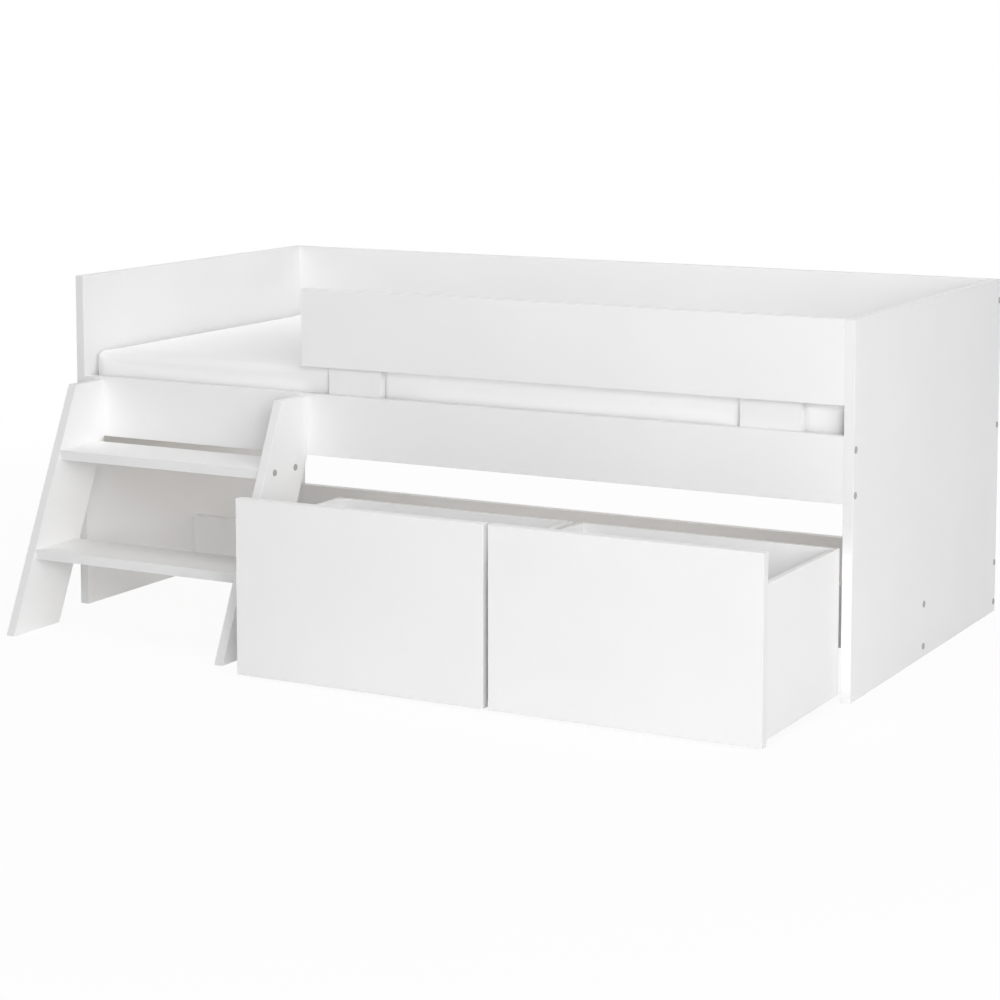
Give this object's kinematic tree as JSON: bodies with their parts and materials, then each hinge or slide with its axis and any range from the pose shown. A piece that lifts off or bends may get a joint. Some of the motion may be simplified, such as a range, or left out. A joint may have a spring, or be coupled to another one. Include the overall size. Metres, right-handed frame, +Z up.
{
  "type": "low sleeper bed",
  "caption": "Low white sleeper bed with a solid board frame, a side guard, a front step ladder, a slatted base with mattress, and open rolling drawers underneath.",
  "frame": {"origin": "on the floor, under the middle of the whole object with its drawers pulled out as in the picture", "axes": "+Z up, +X along the bed from the head end (ladder side) to the foot end, -Y out of the open front where the drawers run"},
  "size_m": [1.9584, 1.372, 0.79],
  "materials": {
    "white_board": "satin white foil on board",
    "mattress_fabric": "smooth white cover",
    "tape_fabric": "woven tape",
    "pine": "planed bare pine",
    "cap_plastic": "moulded grey",
    "castor_plastic": "moulded pale grey",
    "wheel_plastic": "moulded dark grey",
    "zinc_steel": "zinc plated"
  },
  "bodies": {
    "frame": {"head_end_panel": "white_board", "foot_end_panel": "white_board", "upper_back_panel": "white_board", "lower_back_rail": "white_board", "centre_floor_rail": "white_board", "side_rail": "white_board", "guard_rail": "white_board", "guard_upright_left": "white_board", "guard_upright_right": "white_board", "front_slat_batten": "pine", "rear_slat_batten": "pine", "bed_slats": "pine", "slat_tapes": "tape_fabric", "ladder_stringer_left": "white_board", "ladder_stringer_right": "white_board", "ladder_tread_lower": "white_board", "ladder_tread_upper": "white_board", "frame_screws": "zinc_steel", "frame_screw_caps": "cap_plastic", "frame_dowels": "pine", "guard_cams": "zinc_steel", "guard_cam_bolts": "zinc_steel", "upright_screws": "zinc_steel", "batten_screws": "zinc_steel", "slat_screws": "zinc_steel", "tread_screws": "zinc_steel", "tread_screw_caps": "cap_plastic", "ladder_screws": "zinc_steel"},
    "mattress": {"mattress": "mattress_fabric"},
    "left_drawer": {"left_drawer_front": "white_board", "left_drawer_side_left": "white_board", "left_drawer_side_right": "white_board", "left_drawer_back": "white_board", "left_drawer_bottom": "white_board", "left_drawer_cams": "zinc_steel", "left_drawer_cam_bolts": "zinc_steel", "left_castor_housings": "castor_plastic", "left_castor_axles": "zinc_steel", "left_castor_screws": "zinc_steel"},
    "right_drawer": {"right_drawer_front": "white_board", "right_drawer_side_left": "white_board", "right_drawer_side_right": "white_board", "right_drawer_back": "white_board", "right_drawer_bottom": "white_board", "right_drawer_cams": "zinc_steel", "right_drawer_cam_bolts": "zinc_steel", "right_castor_housings": "castor_plastic", "right_castor_axles": "zinc_steel", "right_castor_screws": "zinc_steel"},
    "left_wheel_front_left": {"left_wheel_front_left": "wheel_plastic"},
    "left_wheel_front_right": {"left_wheel_front_right": "wheel_plastic"},
    "left_wheel_rear_left": {"left_wheel_rear_left": "wheel_plastic"},
    "left_wheel_rear_right": {"left_wheel_rear_right": "wheel_plastic"},
    "right_wheel_front_left": {"right_wheel_front_left": "wheel_plastic"},
    "right_wheel_front_right": {"right_wheel_front_right": "wheel_plastic"},
    "right_wheel_rear_left": {"right_wheel_rear_left": "wheel_plastic"},
    "right_wheel_rear_right": {"right_wheel_rear_right": "wheel_plastic"}
  },
  "joints": [
    {"name": "left_drawer_slide", "type": "slide", "parent": "frame", "child": "left_drawer", "axis": [0, -1, 0], "range_m": [-0.408, 0.2]},
    {"name": "right_drawer_slide", "type": "slide", "parent": "frame", "child": "right_drawer", "axis": [0, -1, 0], "range_m": [-0.408, 0.2]},
    {"name": "mattress_lift", "type": "slide", "parent": "frame", "child": "mattress", "axis": [0, 0, 1], "range_m": [0, 0.35]},
    {"name": "left_wheel_front_left_spin", "type": "hinge", "parent": "left_drawer", "child": "left_wheel_front_left", "pos_m": [-0.204, -0.618, 0.018], "axis": [1, 0, 0], "continuous": true},
    {"name": "left_wheel_front_right_spin", "type": "hinge", "parent": "left_drawer", "child": "left_wheel_front_right", "pos_m": [0.298, -0.618, 0.018], "axis": [1, 0, 0], "continuous": true},
    {"name": "left_wheel_rear_left_spin", "type": "hinge", "parent": "left_drawer", "child": "left_wheel_rear_left", "pos_m": [-0.204, -0.334, 0.018], "axis": [1, 0, 0], "continuous": true},
    {"name": "left_wheel_rear_right_spin", "type": "hinge", "parent": "left_drawer", "child": "left_wheel_rear_right", "pos_m": [0.298, -0.334, 0.018], "axis": [1, 0, 0], "continuous": true},
    {"name": "right_wheel_front_left_spin", "type": "hinge", "parent": "right_drawer", "child": "right_wheel_front_left", "pos_m": [0.404, -0.618, 0.018], "axis": [1, 0, 0], "continuous": true},
    {"name": "right_wheel_front_right_spin", "type": "hinge", "parent": "right_drawer", "child": "right_wheel_front_right", "pos_m": [0.906, -0.618, 0.018], "axis": [1, 0, 0], "continuous": true},
    {"name": "right_wheel_rear_left_spin", "type": "hinge", "parent": "right_drawer", "child": "right_wheel_rear_left", "pos_m": [0.404, -0.334, 0.018], "axis": [1, 0, 0], "continuous": true},
    {"name": "right_wheel_rear_right_spin", "type": "hinge", "parent": "right_drawer", "child": "right_wheel_rear_right", "pos_m": [0.906, -0.334, 0.018], "axis": [1, 0, 0], "continuous": true}
  ],
  "couplings": [
    {"joint": "left_wheel_front_left_spin", "follows": "left_drawer_slide", "rad_per_m": 55.556},
    {"joint": "left_wheel_front_right_spin", "follows": "left_drawer_slide", "rad_per_m": 55.556},
    {"joint": "left_wheel_rear_left_spin", "follows": "left_drawer_slide", "rad_per_m": 55.556},
    {"joint": "left_wheel_rear_right_spin", "follows": "left_drawer_slide", "rad_per_m": 55.556},
    {"joint": "right_wheel_front_left_spin", "follows": "right_drawer_slide", "rad_per_m": 55.556},
    {"joint": "right_wheel_front_right_spin", "follows": "right_drawer_slide", "rad_per_m": 55.556},
    {"joint": "right_wheel_rear_left_spin", "follows": "right_drawer_slide", "rad_per_m": 55.556},
    {"joint": "right_wheel_rear_right_spin", "follows": "right_drawer_slide", "rad_per_m": 55.556}
  ]
}
